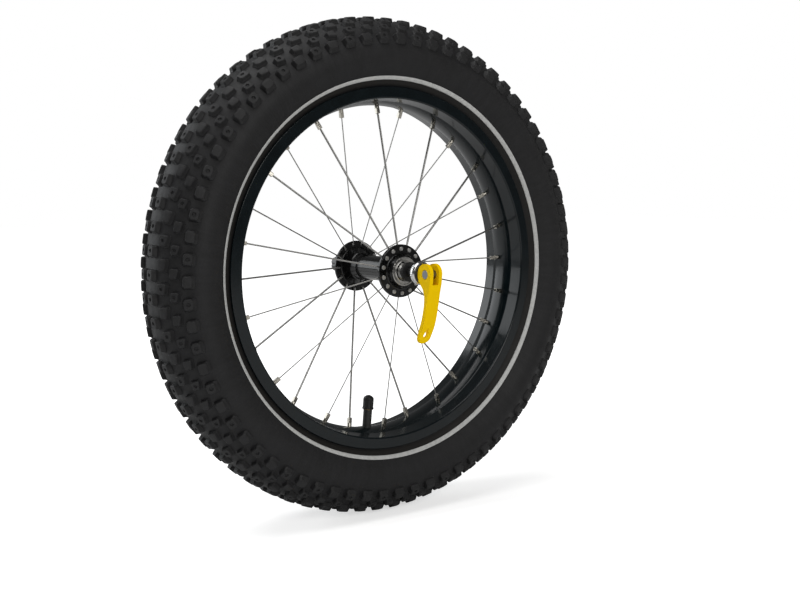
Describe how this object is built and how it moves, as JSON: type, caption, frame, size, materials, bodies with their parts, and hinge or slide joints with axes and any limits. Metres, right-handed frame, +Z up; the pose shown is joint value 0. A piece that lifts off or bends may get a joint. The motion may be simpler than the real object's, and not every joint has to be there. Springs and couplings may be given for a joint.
{
  "type": "fat-tyre trailer wheel with quick release",
  "caption": "Wide knobby sixteen-inch spoked wheel for a child bicycle trailer, on a hollow axle with a quick-release skewer.",
  "frame": {"origin": "centre of the axle midway between the two lock nut faces", "axes": "+Y along the spin axis from the lever side to the adjusting-nut side, +Z up with the lever hanging down, +X completes the right-handed set"},
  "size_m": [0.4384, 0.1548, 0.4384],
  "materials": {
    "tyre_rubber": "moulded black rubber, matt, with a light grey reflective stripe",
    "tube_rubber": "butyl rubber",
    "black_rim": "gloss black anodised",
    "tape": "rim tape",
    "stainless": "drawn stainless wire",
    "nickel": "nickel-plated brass",
    "black_hub": "gloss black anodised",
    "bearing_steel": "ground steel",
    "dust_ring": "turned stainless",
    "black_steel": "black oxide steel",
    "zinc_steel": "zinc-plated steel",
    "yellow_lever": "yellow powder coat on cast alloy",
    "chrome_cup": "chrome plate",
    "pad_plastic": "black acetal",
    "nut_black": "black coated alloy",
    "stem_rubber": "moulded rubber",
    "valve_brass": "turned brass",
    "cap_plastic": "moulded black plastic"
  },
  "bodies": {
    "axle": {"axle": "black_steel", "cone_near": "bearing_steel", "cone_far": "bearing_steel", "lock_washer_near": "black_steel", "lock_washer_far": "black_steel", "locknut_near": "black_steel", "locknut_far": "black_steel"},
    "wheel": {"tyre": "tyre_rubber", "inner_tube": "tube_rubber", "rim": "black_rim", "rim_tape": "tape", "spokes_near": "stainless", "spokes_far": "stainless", "nipples_near": "nickel", "nipples_far": "nickel", "hub_shell": "black_hub", "bearing_cup_near": "bearing_steel", "bearing_cup_far": "bearing_steel", "dust_ring_near": "dust_ring", "dust_ring_far": "dust_ring", "valve_stem": "stem_rubber", "valve_body": "valve_brass", "valve_core": "valve_brass"},
    "balls_near": {"balls_near": "bearing_steel"},
    "balls_far": {"balls_far": "bearing_steel"},
    "skewer": {"skewer_rod": "zinc_steel", "pivot_barrel": "zinc_steel"},
    "lever": {"lever": "yellow_lever"},
    "clamp_cup": {"clamp_cup": "chrome_cup", "cam_pad": "pad_plastic"},
    "clamp_ring": {"clamp_ring": "zinc_steel"},
    "nut": {"skewer_nut": "nut_black"},
    "cap_seal": {"cap_seal": "stem_rubber"},
    "valve_cap": {"valve_cap": "cap_plastic"},
    "valve_pin": {"valve_pin": "valve_brass"}
  },
  "joints": [
    {"name": "wheel_spin", "type": "hinge", "parent": "axle", "child": "wheel", "pos_m": [0, 0, 0], "axis": [0, 1, 0], "continuous": true},
    {"name": "balls_near_roll", "type": "hinge", "parent": "axle", "child": "balls_near", "pos_m": [0, 0, 0], "axis": [0, 1, 0], "continuous": true},
    {"name": "balls_far_roll", "type": "hinge", "parent": "axle", "child": "balls_far", "pos_m": [0, 0, 0], "axis": [0, 1, 0], "continuous": true},
    {"name": "skewer_turn", "type": "hinge", "parent": "axle", "child": "skewer", "pos_m": [0, 0, 0], "axis": [0, 1, 0], "continuous": true},
    {"name": "lever_cam", "type": "hinge", "parent": "skewer", "child": "lever", "pos_m": [0, -0.0786, 0], "axis": [-1, 0, 0], "range_deg": [0, 180]},
    {"name": "cup_slide", "type": "slide", "parent": "skewer", "child": "clamp_cup", "axis": [0, -1, 0], "range_m": [0, 0.00236]},
    {"name": "ring_travel", "type": "slide", "parent": "skewer", "child": "clamp_ring", "axis": [0, 1, 0], "range_m": [0, 0.012]},
    {"name": "nut_turn", "type": "hinge", "parent": "clamp_ring", "child": "nut", "pos_m": [0, 0.062, 0], "axis": [0, 1, 0], "range_deg": [0, 5400]},
    {"name": "seal_travel", "type": "slide", "parent": "wheel", "child": "cap_seal", "axis": [0.0872, 0, 0.9962], "range_m": [0, 0.0093]},
    {"name": "cap_turn", "type": "hinge", "parent": "cap_seal", "child": "valve_cap", "pos_m": [-0.01046, 0, -0.11954], "axis": [0.0872, 0, 0.9962], "range_deg": [0, 4140]},
    {"name": "pin_press", "type": "slide", "parent": "wheel", "child": "valve_pin", "axis": [-0.0872, 0, -0.9962], "range_m": [0, 0.0015], "stiffness_N_per_m": 800, "springref_m": -0.001}
  ],
  "couplings": [
    {"joint": "balls_near_roll", "follows": "wheel_spin", "ratio": 0.597},
    {"joint": "balls_far_roll", "follows": "wheel_spin", "ratio": 0.597},
    {"joint": "cup_slide", "follows": "lever_cam", "m_per_rad": 0.00075},
    {"joint": "ring_travel", "follows": "nut_turn", "m_per_rad": 0.00012732},
    {"joint": "seal_travel", "follows": "cap_turn", "m_per_rad": 0.00012732}
  ]
}
